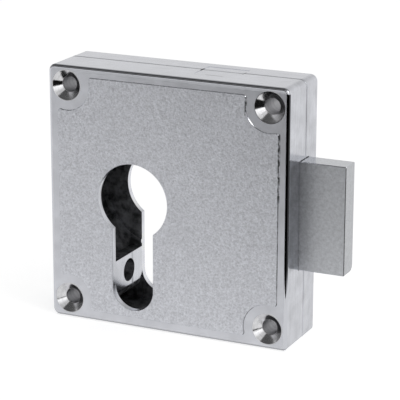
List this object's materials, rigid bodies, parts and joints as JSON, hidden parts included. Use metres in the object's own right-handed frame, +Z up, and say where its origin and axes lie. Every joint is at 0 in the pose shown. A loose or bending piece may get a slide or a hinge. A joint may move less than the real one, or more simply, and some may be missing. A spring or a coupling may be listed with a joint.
{
  "type": "cabinet lock",
  "caption": "Square surface-mounted cabinet deadlock in two die-cast shells, with a keyhole-shaped opening for a profile cylinder and a flat sliding bolt.",
  "frame": {"origin": "where the profile cylinder's axis meets the mounting face", "axes": "+X points out along the deadbolt, +Y is the cylinder's axis and points into the door, +Z is up; the front face looks along -Y"},
  "size_m": [0.0691, 0.0162, 0.059],
  "materials": {
    "cast_zinc": "satin nickel-plated zinc die-casting, finely textured field and smooth border",
    "nickel_rivet": "bright nickel-plated steel",
    "bolt_steel": "matt plated steel",
    "stamped_steel": "stamped zinc-plated sheet steel",
    "turned_steel": "turned bright steel",
    "spring_steel": "blued spring steel"
  },
  "bodies": {
    "case": {"front_shell": "cast_zinc", "rear_shell": "cast_zinc", "top_left_tubular_rivet": "nickel_rivet", "top_right_tubular_rivet": "nickel_rivet", "bottom_left_tubular_rivet": "nickel_rivet", "bottom_right_tubular_rivet": "nickel_rivet", "upper_guide_stud": "turned_steel", "lower_guide_stud": "turned_steel", "catch_spring": "spring_steel", "catch_spring_screw": "turned_steel", "lever_pivot_pin": "turned_steel"},
    "bolt": {"deadbolt_head": "bolt_steel", "bolt_plate": "stamped_steel", "bolt_rivets": "stamped_steel"},
    "lever": {"lifter_lever": "stamped_steel"}
  },
  "joints": [
    {"name": "bolt_slide", "type": "slide", "parent": "case", "child": "bolt", "axis": [1, 0, 0], "range_m": [-0.0107, 0], "deforming": ["catch_spring"]},
    {"name": "lifter_pivot", "type": "hinge", "parent": "case", "child": "lever", "pos_m": [-0.015, -0.0087, 0.015], "axis": [0, -1, 0], "range_deg": [0, 7], "stiffness_Nm_per_rad": 0.2, "springref_deg": -2.86, "deforming": ["catch_spring"]}
  ]
}
